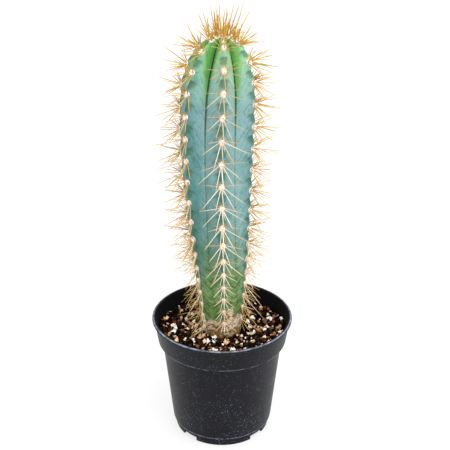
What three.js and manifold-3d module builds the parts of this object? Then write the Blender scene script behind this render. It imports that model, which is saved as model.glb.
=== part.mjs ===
// A potted columnar cactus: a blue-green stem with six ribs and a row of spiny pads on
// each rib, standing in potting mix in a round plastic nursery pot.
// Millimetres, +Z up. The origin is the middle of the pot's foot, on the ground.
// Bearings are in degrees from the front (-Y) towards the right (+X).
import * as THREE from 'three';
import { mergeVertices } from 'three/addons/utils/BufferGeometryUtils.js';
import Module from 'manifold-3d';

// ---- Fit -----------------------------------------------------------------------------
const CLEARANCE = 0.3; // air between pieces that rest on each other

// ---- Pot -----------------------------------------------------------------------------
const POT_HEIGHT = 106.8;
const POT_LIP_RADIUS = 60;
const POT_LIP_DROP = 1.3; // from the top down to the widest line of the rolled lip
const POT_BAND_TOP = [57.9, 103.6]; // radius, height where the band meets the lip
const POT_BAND_FOOT = [55.1, 85.3];
const POT_WALL_TOP = [51.5, 84.5];
const POT_WALL_FOOT = [43.6, 8.5];
const POT_FOOT_STEP = [43.2, 7.2];
const POT_FOOT_OUTER = 41.3;
const POT_FOOT_INNER = 39.3;
const POT_FOOT_HEIGHT = 6.3;
const POT_FLOOR_UNDER = 3.8;
const POT_FLOOR_TOP = 5.6;
const POT_BORE_FOOT = [41.8, POT_FLOOR_TOP]; // radius, height of the inside wall
const POT_BORE_WAIST = [50.1, 85];
const POT_BORE_SHELF = [53.6, 87];
const POT_BORE_LIP = [56.4, 105.6];
const LIP_ROLL = 0.8; // height of the rolled lip's round above and below its middle
const LIP_ROLL_DEPTH = 0.5;
const LIP_TOP = [57, 58.3]; // inner and outer radius of the flat on top
const POT_SEGMENTS = 48;
const POT_YAW = 1.9; // degrees that the foot's notches are turned from the front
const NOTCH_COUNT = 4;
const NOTCH_WIDTH = 14.8;
const NOTCH_HEIGHT = 3.6;
const NOTCH_REACH = 8; // cut from well inside the foot ring to well outside it
const DRAIN_COUNT = 8;
const DRAIN_WIDTH = 3.6;
const DRAIN_START = 20; // radii at which a drain slot begins and ends
const DRAIN_END = 34;

// ---- Soil ----------------------------------------------------------------------------
const SOIL_TOP = 95;
const SOIL_LUMP = 1.1; // height of the surface's rise and fall
const SOIL_WALL_GAP = 0.4; // inside the pot's wall
const SOIL_SHELF_GAP = 0.35; // over the ledge at the wall's step
const SOIL_RINGS = 6;
const SOIL_SEGMENTS = 32;
const GRAIN_COUNT = 74;
const GRAIN_SMALLEST = 1.5;
const GRAIN_LARGEST = 2.9;
const GRAIN_SINK = 0.25; // share of a grain's radius that its middle lies under the surface

// ---- Stem ----------------------------------------------------------------------------
const RIBS = 6;
const RIB_PITCH = 360 / RIBS;
const FIRST_RIB_BEARING = 6.6;
const STEM_TOP = 345.3;
const SHOULDER_HEIGHT = 290; // where the column starts to round over
const SHOULDER_RADIUS = 31.7;
const COLLAR_HEIGHT = 97; // where the ribs run out above the soil
const COLLAR_RADIUS = 17.6;
const ROOT_END_HEIGHT = 70;
const ROOT_END_RADIUS = 13;
const COLUMN_SWELL = 1.1; // how the column widens from collar to shoulder
const DOME_POWER = 2.3; // roundness of the crown
const LEAN = 3.7; // sideways bow of the column
const LEAN_START = 85; // height where the bow begins
const LEAN_POWER = 1.7; // above 1 the bow is fullest in the upper half
const FOOT_OFFSET = -0.6; // from the pot's middle to the stem's foot
const CREST_ROUNDING = 1.0; // how far the crest stays inside its sharp edge
const FLANK_SWELL = 0.4; // outward bow of a rib's flank
const SHARP_RIB_DEPTH = 0.1; // share of depth, and radius, from which ribs have their full edge
const SHARP_RIB_RADIUS = 12;
const COLUMN_OFFSETS = [-16, -4.5, 0, 4.5, 16, 30]; // grid columns, degrees off a rib's crest
const CREST_DIP = 0.8; // dip of the crest between two pads
const DIP_PLACE = 0.45; // share of the spacing from a pad down to the dip
const DIP_RADII = [4, 16]; // crest radii between which the dips grow to full depth
const TOP_RING_DROP = 0.2; // from the tip down to the highest ring of the grid
// Height and furrow radius as a share of the crest radius, from soil to crown.
const FURROW_SHARES = [
  [97, 1], [104, 0.92], [120, 0.9], [168, 0.87], [213, 0.78], [272, 0.73],
  [290, 0.7], [305, 0.67], [320, 0.61], [338, 0.5], [345.3, 0.4],
];

// ---- Areoles and spines --------------------------------------------------------------
const AREOLES_PER_RIB = 17;
const LOWEST_AREOLE = 101;
const SPACING_LOW = 11.6; // between pads near the soil
const SPACING_HIGH = 17.9; // between pads halfway up and above
const SPACING_CHANGE = [138, 231]; // heights between which the spacing grows
const CROWN_CROWDING = 0.26; // share by which the spacing closes up at the crown
// Height of the first pad and stretch of the spacing, for each rib in turn.
const RIB_STARTS = [
  [340.1, 1.03], [341.8, 0.975], [338.4, 1.01], [341, 0.99], [336.9, 1.02], [336.4, 0.986],
];
const PAD_SIDES = 6;
const PAD_WIDTH = 2.7; // half sizes of a pad across and along the rib
const PAD_LENGTH = 3.0;
const PAD_HEIGHT = 2.3;
const PAD_SHOULDER = 0.72; // share of its size at its raised ring, and how high that stands
const PAD_SHOULDER_LIFT = 1.5;
const PAD_CLEARANCE = CLEARANCE + 0.15;
const ROOT_LIFT = 0.8; // height over the stem at which a pad's spines meet
const SPINE_RADIUS = 0.45;
const LINK_RADIUS = 0.42; // the long lower spine that reaches the next pad
const COLLAR_LIFT = 0.3;
// Turn from straight down the rib, lift above its surface, and length.
const SPINES = [
  { turn: 52, lift: 22, length: 18 },
  { turn: -52, lift: 22, length: 18 },
  { turn: 100, lift: 42, length: 13 },
  { turn: -100, lift: 42, length: 13 },
  { turn: 15, lift: 62, length: 21 },
  { turn: -162, lift: 54, length: 12 },
];
const CROWN_SPINES = [
  { turn: 66, lift: 36, length: 20 },
  { turn: -66, lift: 36, length: 20 },
  { turn: 10, lift: 50, length: 24 },
  { turn: -130, lift: 62, length: 21 },
  { turn: 130, lift: 68, length: 23 },
  { turn: 180, lift: 78, length: 25 },
];
const CROWN_START = 318; // height above which pads carry crown spines
const APEX_SPINES = [40, 112, 184, 256, 328].map((turn) => ({ turn, lift: 76, length: 24 }));
const SPINE_SWAY = 5; // degrees of chance in a spine's turn and lift
const SPINE_SPREAD = 0.1; // share of chance in its length
const STEEPEST_LIFT = 84;
const LIFT_STEP = 3;
const WEDGE_MARGIN = 1.0; // air between a tip and the middle of the next furrow
const TIP_OVER_SOIL = 4.2; // air between a tip and the soil

const wasm = await Module();
wasm.setup();

// ---- Tools ---------------------------------------------------------------------------

// Repeatable chance between 0 and 1.
function seededChance(seed) {
  let state = seed;
  return () => {
    state = (state + 0x6d2b79f5) | 0;
    let mixed = Math.imul(state ^ (state >>> 15), 1 | state);
    mixed = (mixed + Math.imul(mixed ^ (mixed >>> 7), 61 | mixed)) ^ mixed;
    return ((mixed ^ (mixed >>> 14)) >>> 0) / 4294967296;
  };
}

function toSolid(geometry) {
  const bare = geometry.clone();
  bare.deleteAttribute('normal');
  bare.deleteAttribute('uv');
  const merged = mergeVertices(bare, 1e-4);
  return new wasm.Manifold(new wasm.Mesh({
    numProp: 3,
    vertProperties: new Float32Array(merged.attributes.position.array),
    triVerts: new Uint32Array(merged.index.array),
  }));
}

function toGeometry(solid) {
  const mesh = solid.getMesh();
  const geometry = new THREE.BufferGeometry();
  geometry.setAttribute('position', new THREE.BufferAttribute(mesh.vertProperties, 3));
  geometry.setIndex(new THREE.BufferAttribute(mesh.triVerts, 1));
  return geometry;
}

function makePiece(name, geometry, color, roughness) {
  const material = new THREE.MeshStandardMaterial({ color, roughness, metalness: 0 });
  const flat = geometry.index ? geometry : mergeVertices(geometry);
  flat.computeVertexNormals();
  const mesh = new THREE.Mesh(flat, material);
  mesh.name = name;
  return mesh;
}

function latheUpright(outline, segments) {
  const points = outline.map(([radius, height]) => new THREE.Vector2(radius, height));
  return new THREE.LatheGeometry(points, segments).rotateX(Math.PI / 2);
}

// Value at x on the straight lines between the points of a rising table.
function alongTable(table, x) {
  const next = table.findIndex(([position]) => position >= x);
  if (next === 0) return table[0][1];
  if (next < 0) return table.at(-1)[1];
  const [x0, y0] = table[next - 1];
  const [x1, y1] = table[next];
  return THREE.MathUtils.mapLinear(x, x0, x1, y0, y1);
}

function bearingVector(bearing) {
  const angle = THREE.MathUtils.degToRad(bearing);
  return new THREE.Vector3(Math.sin(angle), -Math.cos(angle), 0);
}

// ---- Pot: one moulding, thin walled, with notched foot and drain slots -------------------
function buildPot() {
  const lipMiddle = POT_HEIGHT - POT_LIP_DROP;
  const shell = toSolid(latheUpright([
    [0, POT_FLOOR_UNDER],
    [POT_FOOT_INNER, POT_FLOOR_UNDER],
    [POT_FOOT_INNER, 0],
    [POT_FOOT_OUTER, 0],
    [POT_FOOT_OUTER, POT_FOOT_HEIGHT],
    POT_FOOT_STEP,
    POT_WALL_FOOT,
    POT_WALL_TOP,
    POT_BAND_FOOT,
    POT_BAND_TOP,
    [POT_LIP_RADIUS - LIP_ROLL_DEPTH, lipMiddle - LIP_ROLL],
    [POT_LIP_RADIUS, lipMiddle],
    [POT_LIP_RADIUS - LIP_ROLL_DEPTH, lipMiddle + LIP_ROLL],
    [LIP_TOP[1], POT_HEIGHT],
    [LIP_TOP[0], POT_HEIGHT],
    POT_BORE_LIP,
    POT_BORE_SHELF,
    POT_BORE_WAIST,
    POT_BORE_FOOT,
    [0, POT_FLOOR_TOP],
  ], POT_SEGMENTS));

  let pot = shell;
  for (let i = 0; i < NOTCH_COUNT; i += 1) {
    const notch = new THREE.BoxGeometry(NOTCH_WIDTH, NOTCH_REACH, 2 * NOTCH_HEIGHT);
    notch.translate(0, -(POT_FOOT_INNER + POT_FOOT_OUTER) / 2, 0);
    notch.rotateZ(THREE.MathUtils.degToRad(POT_YAW + ((i + 0.5) * 360) / NOTCH_COUNT));
    pot = pot.subtract(toSolid(notch));
  }
  for (let i = 0; i < DRAIN_COUNT; i += 1) {
    const slot = new THREE.BoxGeometry(DRAIN_WIDTH, DRAIN_END - DRAIN_START, 3 * POT_FLOOR_TOP);
    slot.translate(0, -(DRAIN_START + DRAIN_END) / 2, 0);
    slot.rotateZ(THREE.MathUtils.degToRad(POT_YAW + (i * 360) / DRAIN_COUNT));
    pot = pot.subtract(toSolid(slot));
  }
  return toGeometry(pot);
}

// ---- Soil: fills the pot, lumpy on top, with a plain hole for the stem's root ------------
function soilSurface(x, y) {
  const broad = Math.sin(0.11 * x + 0.6) * Math.cos(0.13 * y - 0.4);
  const fine = Math.sin(0.31 * x - 0.27 * y + 1.2);
  return SOIL_TOP + SOIL_LUMP * (0.6 * broad + 0.4 * fine);
}

function buildSoilBody() {
  const share = (SOIL_TOP - POT_BORE_SHELF[1]) / (POT_BORE_LIP[1] - POT_BORE_SHELF[1]);
  const boreAtTop = THREE.MathUtils.lerp(POT_BORE_SHELF[0], POT_BORE_LIP[0], share);
  const topRadius = boreAtTop - SOIL_WALL_GAP;
  const outline = [
    [0, POT_FLOOR_TOP + CLEARANCE],
    [POT_BORE_FOOT[0] - SOIL_WALL_GAP, POT_FLOOR_TOP + CLEARANCE],
    [POT_BORE_WAIST[0] - SOIL_WALL_GAP, POT_BORE_WAIST[1]],
    [POT_BORE_SHELF[0] - SOIL_WALL_GAP, POT_BORE_SHELF[1] + SOIL_SHELF_GAP],
  ];
  for (let ring = 0; ring <= SOIL_RINGS; ring += 1) {
    outline.push([topRadius * (1 - ring / SOIL_RINGS), SOIL_TOP]);
  }
  const body = latheUpright(outline, SOIL_SEGMENTS);
  const places = body.attributes.position;
  for (let i = 0; i < places.count; i += 1) {
    if (places.getZ(i) === SOIL_TOP) {
      places.setZ(i, soilSurface(places.getX(i), places.getY(i)));
    }
  }
  return toSolid(body);
}

function buildGrain(chance) {
  const size = THREE.MathUtils.lerp(GRAIN_SMALLEST, GRAIN_LARGEST, chance() ** 1.5);
  const inner = COLLAR_RADIUS + GRAIN_SMALLEST;
  const outer = POT_BORE_SHELF[0] - GRAIN_LARGEST - SOIL_WALL_GAP;
  const reach = Math.sqrt(THREE.MathUtils.lerp(inner ** 2, outer ** 2, chance()));
  const place = bearingVector(360 * chance()).multiplyScalar(reach);
  const grain = new THREE.OctahedronGeometry(size, 0);
  grain.rotateX(Math.PI * chance()).rotateZ(Math.PI * chance());
  grain.scale(1, 0.75 + 0.25 * chance(), 0.75);
  grain.rotateZ(Math.PI * chance());
  grain.translate(place.x, place.y, soilSurface(place.x, place.y) - GRAIN_SINK * size);
  return toSolid(grain);
}

function buildSoil() {
  const chance = seededChance(11);
  let soil = buildSoilBody();
  for (let i = 0; i < GRAIN_COUNT; i += 1) {
    soil = soil.add(buildGrain(chance));
  }
  const slope = (COLLAR_RADIUS - ROOT_END_RADIUS) / (COLLAR_HEIGHT - ROOT_END_HEIGHT);
  const mouth = SOIL_TOP + 2 * GRAIN_LARGEST;
  const hole = latheUpright([
    [0, ROOT_END_HEIGHT - CLEARANCE],
    [ROOT_END_RADIUS + CLEARANCE, ROOT_END_HEIGHT - CLEARANCE],
    [ROOT_END_RADIUS + CLEARANCE + slope * (mouth - ROOT_END_HEIGHT), mouth],
    [0, mouth],
  ], RIBS * COLUMN_OFFSETS.length);
  hole.rotateZ(THREE.MathUtils.degToRad(FIRST_RIB_BEARING));
  hole.translate(FOOT_OFFSET, 0, 0);
  return toGeometry(soil.subtract(toSolid(hole)));
}

// ---- Stem: a ribbed column raised on a grid by formula -----------------------------------
function axisShift(height) {
  const climb = THREE.MathUtils.clamp((height - LEAN_START) / (STEM_TOP - LEAN_START), 0, 1);
  return FOOT_OFFSET * (1 - climb) - LEAN * Math.sin(Math.PI * climb ** LEAN_POWER);
}

function crestRadius(height) {
  if (height >= SHOULDER_HEIGHT) {
    const rise = Math.min(1, (height - SHOULDER_HEIGHT) / (STEM_TOP - SHOULDER_HEIGHT));
    return SHOULDER_RADIUS * (1 - rise ** DOME_POWER) ** (1 / DOME_POWER);
  }
  const climb = Math.max(0, (height - COLLAR_HEIGHT) / (SHOULDER_HEIGHT - COLLAR_HEIGHT));
  const swell = Math.sin((Math.PI / 2) * climb) ** COLUMN_SWELL;
  return COLLAR_RADIUS + (SHOULDER_RADIUS - COLLAR_RADIUS) * swell;
}

// Spacing from a pad at this height to the next one down.
function areoleSpacing(height) {
  const growth = THREE.MathUtils.smoothstep(height, ...SPACING_CHANGE);
  const crowding = CROWN_CROWDING * THREE.MathUtils.smoothstep(height, SHOULDER_HEIGHT, STEM_TOP);
  return THREE.MathUtils.lerp(SPACING_LOW, SPACING_HIGH, growth) * (1 - crowding);
}

function areoleHeights([start, stretch]) {
  const heights = [start];
  while (heights.length < AREOLES_PER_RIB) {
    const last = heights.at(-1);
    const halfway = last - 0.5 * stretch * areoleSpacing(last);
    heights.push(last - stretch * areoleSpacing(halfway));
  }
  return heights;
}

// Heights of a rib's grid rows from the collar up: each pad, and each dip between pads.
function rowHeights(areoles) {
  const rows = [];
  areoles.forEach((height, i) => {
    rows.unshift(height);
    if (i + 1 < areoles.length) {
      rows.unshift(THREE.MathUtils.lerp(height, areoles[i + 1], DIP_PLACE));
    }
  });
  return [...rows, STEM_TOP - TOP_RING_DROP];
}

const ribAreoles = RIB_STARTS.map(areoleHeights);
const ribRows = ribAreoles.map(rowHeights);

// Depth of the crest's dip at a height, straight between the pads and the dips.
function crestDip(rib, height) {
  const table = ribRows[rib].map((row, i) => [row, i % 2 ? CREST_DIP : 0]);
  return alongTable(table, height) * THREE.MathUtils.smoothstep(crestRadius(height), ...DIP_RADII);
}

// Radius of the stem at an angle off a rib's crest, up to half a rib to each side.
function stemRadius(rib, offset, height) {
  const crest = crestRadius(height);
  const half = THREE.MathUtils.degToRad(RIB_PITCH / 2);
  const turn = THREE.MathUtils.degToRad(Math.abs(offset));
  const ribDepth = 1 - alongTable(FURROW_SHARES, height);
  const sharpness = Math.min(1, ribDepth / SHARP_RIB_DEPTH) * Math.min(1, crest / SHARP_RIB_RADIUS);
  const edge = crest + CREST_ROUNDING * sharpness;
  const furrow = crest * (1 - ribDepth);
  const spread = edge * Math.sin(turn) + furrow * Math.sin(half - turn);
  const flank = (edge * furrow * Math.sin(half)) / spread;
  const bowed = flank + FLANK_SWELL * sharpness * Math.sin((Math.PI * turn) / half);
  const dip = crestDip(rib, height) * (1 - turn / half);
  return Math.min(crest, bowed) - dip;
}

function stemPoint(rib, offset, height) {
  const bearing = FIRST_RIB_BEARING + rib * RIB_PITCH + offset;
  const point = bearingVector(bearing).multiplyScalar(stemRadius(rib, offset, height));
  return point.add(new THREE.Vector3(axisShift(height), 0, height));
}

// One ring of the grid: each rib keeps its own heights, and furrows take their mean.
function ringPoints(row) {
  const ring = [];
  for (let rib = 0; rib < RIBS; rib += 1) {
    for (const offset of COLUMN_OFFSETS) {
      const beside = (rib + (offset < 0 ? RIBS - 1 : 1)) % RIBS;
      const share = Math.abs(offset) / RIB_PITCH;
      const height = THREE.MathUtils.lerp(ribRows[rib][row], ribRows[beside][row], share);
      ring.push(stemPoint(rib, offset, height));
    }
  }
  return ring;
}

function roundRing(radius, height) {
  const ring = [];
  for (let rib = 0; rib < RIBS; rib += 1) {
    for (const offset of COLUMN_OFFSETS) {
      const point = bearingVector(FIRST_RIB_BEARING + rib * RIB_PITCH + offset);
      ring.push(point.multiplyScalar(radius).add(new THREE.Vector3(FOOT_OFFSET, 0, height)));
    }
  }
  return ring;
}

// A closed surface through rings of points, from the lowest ring to the highest.
function loft(rings, bottom, top) {
  const columns = rings[0].length;
  const points = [bottom, ...rings.flat(), top];
  const topIndex = points.length - 1;
  const faces = [];
  for (let column = 0; column < columns; column += 1) {
    const next = (column + 1) % columns;
    faces.push(0, 1 + next, 1 + column);
    for (let ring = 0; ring + 1 < rings.length; ring += 1) {
      const here = 1 + ring * columns;
      const above = here + columns;
      faces.push(here + column, here + next, above + next);
      faces.push(here + column, above + next, above + column);
    }
    const last = 1 + (rings.length - 1) * columns;
    faces.push(last + column, last + next, topIndex);
  }
  const geometry = new THREE.BufferGeometry().setFromPoints(points);
  geometry.setIndex(faces);
  return geometry;
}

function buildStem() {
  const rings = [
    roundRing(ROOT_END_RADIUS, ROOT_END_HEIGHT),
    roundRing(COLLAR_RADIUS, COLLAR_HEIGHT),
  ];
  for (let row = 0; row < ribRows[0].length; row += 1) {
    rings.push(ringPoints(row));
  }
  const bottom = new THREE.Vector3(FOOT_OFFSET, 0, ROOT_END_HEIGHT);
  const top = new THREE.Vector3(axisShift(STEM_TOP), 0, STEM_TOP);
  return loft(rings, bottom, top);
}

// ---- Areoles and spines: felted pads chained down each rib ---------------------------------

// Directions at a pad: down the rib, across it, and out of the surface.
function padFrame(rib, height) {
  const reach = PAD_LENGTH / 2;
  const upper = stemPoint(rib, 0, Math.min(height + reach, STEM_TOP));
  const lower = stemPoint(rib, 0, height - reach);
  const down = lower.sub(upper).normalize();
  const across = bearingVector(FIRST_RIB_BEARING + rib * RIB_PITCH + 90);
  const out = new THREE.Vector3().crossVectors(down, across);
  return { down, across, out };
}

// Points of a domed pad: its middle underneath, a ring on the stem, a raised ring, its top.
// place(along, across, lift) gives the point at that spot of the surface.
function padPoints(place) {
  const points = [place(0, 0, 0)];
  for (const [start, spread, lift] of [[0, 1, 0], [30, PAD_SHOULDER, PAD_SHOULDER_LIFT]]) {
    for (let side = 0; side < PAD_SIDES; side += 1) {
      const turn = THREE.MathUtils.degToRad(start + (side * 360) / PAD_SIDES);
      const along = PAD_LENGTH * spread * Math.cos(turn);
      points.push(place(along, PAD_WIDTH * spread * Math.sin(turn), lift));
    }
  }
  points.push(place(0, 0, PAD_HEIGHT));
  return points;
}

function padFaces() {
  const [under, lower, raised, top] = [0, 1, 1 + PAD_SIDES, 1 + 2 * PAD_SIDES];
  const faces = { under: [], edge: [], link: [], top: [] };
  for (let side = 0; side < PAD_SIDES; side += 1) {
    const next = (side + 1) % PAD_SIDES;
    faces.under.push([under, lower + next, lower + side]);
    faces.edge.push([lower + side, lower + next, raised + side]);
    faces.link.push([raised + side, lower + next, raised + next]);
    faces.top.push([raised + side, raised + next, top]);
  }
  return faces;
}

function ribStation(rib, height) {
  const frame = padFrame(rib, height);
  const place = (along, across, lift) => {
    const level = height + along * frame.down.z;
    const offset = THREE.MathUtils.radToDeg(across / Math.max(crestRadius(level), 2 * PAD_WIDTH));
    return stemPoint(rib, offset, level).addScaledVector(frame.out, PAD_CLEARANCE + lift);
  };
  const spines = height > CROWN_START ? CROWN_SPINES : SPINES;
  return { frame, spines, root: place(0, 0, ROOT_LIFT), points: padPoints(place) };
}

// The woolly tip of the crown, tied to the first pad of the highest rib.
function apexStation(rib) {
  const down = bearingVector(FIRST_RIB_BEARING + rib * RIB_PITCH);
  const across = bearingVector(FIRST_RIB_BEARING + rib * RIB_PITCH + 90);
  const frame = { down, across, out: new THREE.Vector3(0, 0, 1) };
  const middle = new THREE.Vector3(axisShift(STEM_TOP), 0, STEM_TOP + PAD_CLEARANCE);
  const place = (along, aside, lift) => middle.clone()
    .addScaledVector(down, along)
    .addScaledVector(across, aside)
    .addScaledVector(frame.out, lift);
  return { frame, spines: APEX_SPINES, root: place(0, 0, ROOT_LIFT), points: padPoints(place) };
}

function spineTip(root, frame, turn, lift, length) {
  const turned = THREE.MathUtils.degToRad(turn);
  const lifted = THREE.MathUtils.degToRad(lift);
  return root.clone()
    .addScaledVector(frame.down, length * Math.cos(lifted) * Math.cos(turned))
    .addScaledVector(frame.across, length * Math.cos(lifted) * Math.sin(turned))
    .addScaledVector(frame.out, length * Math.sin(lifted));
}

// A tip stays in its own rib's share of the circle, and over the soil.
function isClear(tip, rib) {
  const fromAxis = new THREE.Vector3(tip.x - axisShift(tip.z), tip.y, 0);
  const ahead = fromAxis.dot(bearingVector(FIRST_RIB_BEARING + rib * RIB_PITCH));
  const aside = fromAxis.dot(bearingVector(FIRST_RIB_BEARING + rib * RIB_PITCH + 90));
  const half = THREE.MathUtils.degToRad(RIB_PITCH / 2);
  const inWedge = ahead * Math.sin(half) - Math.abs(aside) * Math.cos(half) > WEDGE_MARGIN;
  return inWedge && tip.z > SOIL_TOP + TIP_OVER_SOIL;
}

// Spines stand up more steeply where they would reach the next rib or the soil.
function clearTip(rib, { root, frame }, { turn, lift, length }, chance) {
  const swayed = turn + SPINE_SWAY * (2 * chance() - 1);
  const long = length * (1 + SPINE_SPREAD * (2 * chance() - 1));
  let raised = lift + SPINE_SWAY * (2 * chance() - 1);
  let tip = spineTip(root, frame, swayed, raised, long);
  while (!isClear(tip, rib) && raised < STEEPEST_LIFT) {
    raised += LIFT_STEP;
    tip = spineTip(root, frame, swayed, raised, long);
  }
  return tip;
}

function faceMiddle(row, face) {
  const sum = face.reduce((total, corner) => total.add(row.points[corner]), new THREE.Vector3());
  return sum.divideScalar(3);
}

function faceNormal(row, [a, b, c]) {
  const [start, left, right] = [row.points[a], row.points[b], row.points[c]];
  return left.clone().sub(start).cross(right.clone().sub(start)).normalize();
}

// A three-cornered collar stands on a face, ready for a spine that leaves along the way.
function raiseCollar(row, face, way, radius) {
  const base = faceMiddle(row, face);
  const ahead = row.points[face[0]].clone().sub(base).projectOnPlane(way).setLength(radius);
  const aside = way.clone().cross(ahead);
  base.addScaledVector(way, COLLAR_LIFT);
  const first = row.points.length;
  for (let corner = 0; corner < 3; corner += 1) {
    const turn = (corner * 2 * Math.PI) / 3;
    const point = base.clone().addScaledVector(ahead, Math.cos(turn));
    row.points.push(point.addScaledVector(aside, Math.sin(turn)));
  }
  const collar = [first, first + 1, first + 2];
  for (let corner = 0; corner < 3; corner += 1) {
    const next = (corner + 1) % 3;
    row.faces.push(face[corner], face[next], collar[next]);
    row.faces.push(face[corner], collar[next], collar[corner]);
  }
  return collar;
}

function addSpine(row, face, tip) {
  const way = tip.clone().sub(faceMiddle(row, face)).normalize();
  const collar = raiseCollar(row, face, way, SPINE_RADIUS);
  const end = row.points.push(tip) - 1;
  row.faces.push(collar[0], collar[1], end, collar[1], collar[2], end, collar[2], collar[0], end);
}

// The long lower spine of one pad, which reaches the next pad down.
function addLink(row, fromFace, toFace) {
  const way = faceMiddle(row, toFace).sub(faceMiddle(row, fromFace)).normalize();
  const from = raiseCollar(row, fromFace, way, LINK_RADIUS);
  const to = raiseCollar(row, toFace, way.clone().negate(), LINK_RADIUS);
  const span = (shift) => from.reduce((total, corner, i) => (
    total + row.points[corner].distanceTo(row.points[to[(3 + shift - i) % 3]])), 0);
  const shift = [0, 1, 2].reduce((best, turn) => (span(turn) < span(best) ? turn : best), 0);
  const facing = from.map((_, i) => to[(3 + shift - i) % 3]);
  for (let corner = 0; corner < 3; corner += 1) {
    const next = (corner + 1) % 3;
    row.faces.push(from[corner], from[next], facing[next]);
    row.faces.push(from[corner], facing[next], facing[corner]);
  }
}

// Adds a pad and its spines, and leaves open the faces that its links spring from.
function addStation(row, rib, station, linksUp, linksDown, chance) {
  const first = row.points.length;
  row.points.push(...station.points);
  const faces = padFaces();
  for (const kind of Object.values(faces)) {
    kind.forEach((face) => face.forEach((corner, i) => { face[i] = corner + first; }));
  }
  const upFace = faces.link[PAD_SIDES / 2 - 1];
  const downFace = faces.link[PAD_SIDES - 1];
  const taken = new Set([...(linksUp ? [upFace] : []), ...(linksDown ? [downFace] : [])]);
  const open = [...faces.edge, ...faces.link, ...faces.top];
  for (const spine of station.spines) {
    const tip = station.upright
      ? spineTip(station.root, station.frame, spine.turn, spine.lift, spine.length)
      : clearTip(rib, station, spine, chance);
    const way = tip.clone().sub(station.root).normalize();
    const free = open.filter((face) => !taken.has(face) && face !== upFace && face !== downFace);
    const best = free.reduce((a, b) => (
      faceNormal(row, b).dot(way) > faceNormal(row, a).dot(way) ? b : a));
    taken.add(best);
    addSpine(row, best, tip);
  }
  for (const face of [...faces.under, ...open]) {
    if (!taken.has(face)) row.faces.push(...face);
  }
  return { upFace, downFace };
}

function buildSpineRow(rib, hasApex, chance) {
  const heights = ribAreoles[rib].filter((height) => height > LOWEST_AREOLE);
  const stations = heights.map((height) => ribStation(rib, height));
  if (hasApex) stations.unshift({ ...apexStation(rib), upright: true });
  const row = { points: [], faces: [] };
  let above = null;
  stations.forEach((station, i) => {
    const pad = addStation(row, rib, station, i > 0, i + 1 < stations.length, chance);
    if (above) addLink(row, above.downFace, pad.upFace);
    above = pad;
  });
  const geometry = new THREE.BufferGeometry().setFromPoints(row.points);
  geometry.setIndex(row.faces);
  return geometry;
}

// ---- Put together ----------------------------------------------------------------------
const group = new THREE.Group();
group.add(makePiece('pot', buildPot(), 0x2b2c30, 0.5));
group.add(makePiece('soil', buildSoil(), 0x3a2a20, 0.95));
group.add(makePiece('stem', buildStem(), 0x63958f, 0.6));

const firstPads = RIB_STARTS.map(([height]) => height);
const highestRib = firstPads.indexOf(Math.max(...firstPads));
const spineChance = seededChance(29);
for (let rib = 0; rib < RIBS; rib += 1) {
  const row = buildSpineRow(rib, rib === highestRib, spineChance);
  group.add(makePiece(`spine_row_${rib + 1}`, row, 0xd9b877, 0.7));
}

export default group;
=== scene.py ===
import itertools
from math import cos, degrees, hypot, pi, radians, sin, sqrt

import bmesh
import bpy
import numpy as np
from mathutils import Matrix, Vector, noise


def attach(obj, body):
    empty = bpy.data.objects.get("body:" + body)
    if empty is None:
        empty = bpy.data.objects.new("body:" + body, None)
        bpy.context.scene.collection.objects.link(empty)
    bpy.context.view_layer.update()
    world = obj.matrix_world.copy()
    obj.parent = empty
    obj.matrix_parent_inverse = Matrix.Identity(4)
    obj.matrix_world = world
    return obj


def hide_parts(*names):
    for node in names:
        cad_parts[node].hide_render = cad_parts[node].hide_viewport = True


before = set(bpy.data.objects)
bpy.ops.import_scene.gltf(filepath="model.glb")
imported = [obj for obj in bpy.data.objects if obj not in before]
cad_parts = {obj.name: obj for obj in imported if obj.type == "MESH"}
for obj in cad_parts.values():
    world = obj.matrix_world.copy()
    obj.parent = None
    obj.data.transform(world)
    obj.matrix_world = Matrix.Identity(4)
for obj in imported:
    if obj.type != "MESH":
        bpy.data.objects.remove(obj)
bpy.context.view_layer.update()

# --- Camera, light and floor --------------------------------------------------------------
# The plant is seen from a little above, close in front, on a plain white table that is lit
# from below. A broad light stands high in front on the right; a broader, weaker one stands
# higher, just left of the middle.
MM = 0.001
SENSOR_WIDTH = 36.0
PICTURE_WIDTH = 450
FOCAL_LENGTH_PIXELS = 875.9
AXIS_PIXEL = 222.1  # column of the picture in which the pot's middle stands
CAMERA_PLACE = Vector((0, -650, 491.4)) * MM
CAMERA_PITCH = 24.8
ROOM_STRENGTH = 1.15
FLOOR_HALF = 3.0
FLOOR_GREY, FLOOR_GLOW = 0.25, 0.66

scene = bpy.context.scene


def add_object(name, data):
    """A new object in the scene."""
    thing = bpy.data.objects.new(name, data)
    scene.collection.objects.link(thing)
    return thing


camera_lens = bpy.data.cameras.new("camera")
camera_lens.sensor_width = SENSOR_WIDTH
camera_lens.lens = SENSOR_WIDTH * FOCAL_LENGTH_PIXELS / PICTURE_WIDTH
camera_lens.shift_x = (PICTURE_WIDTH / 2 - AXIS_PIXEL) / PICTURE_WIDTH
camera_lens.clip_start = 0.01
camera = add_object("camera", camera_lens)
camera.location = CAMERA_PLACE
camera.rotation_euler = (radians(90 - CAMERA_PITCH), 0, 0)
scene.camera = camera
scene.view_settings.view_transform = "Standard"


def add_light(name, side, front, height, strength, softness):
    """A broad, far light in the direction given, with the angle it fills in degrees."""
    lamp = bpy.data.lights.new(name, "SUN")
    lamp.energy = strength
    lamp.angle = radians(softness)
    way = Vector((-side, front, -height))
    add_object(name, lamp).rotation_euler = way.to_track_quat("-Z", "Y").to_euler()


add_light("key_light", side=0.85, front=0.8, height=1.1, strength=2.0, softness=70)
add_light("fill_light", side=-0.2, front=1.0, height=1.4, strength=0.9, softness=90)

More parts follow.
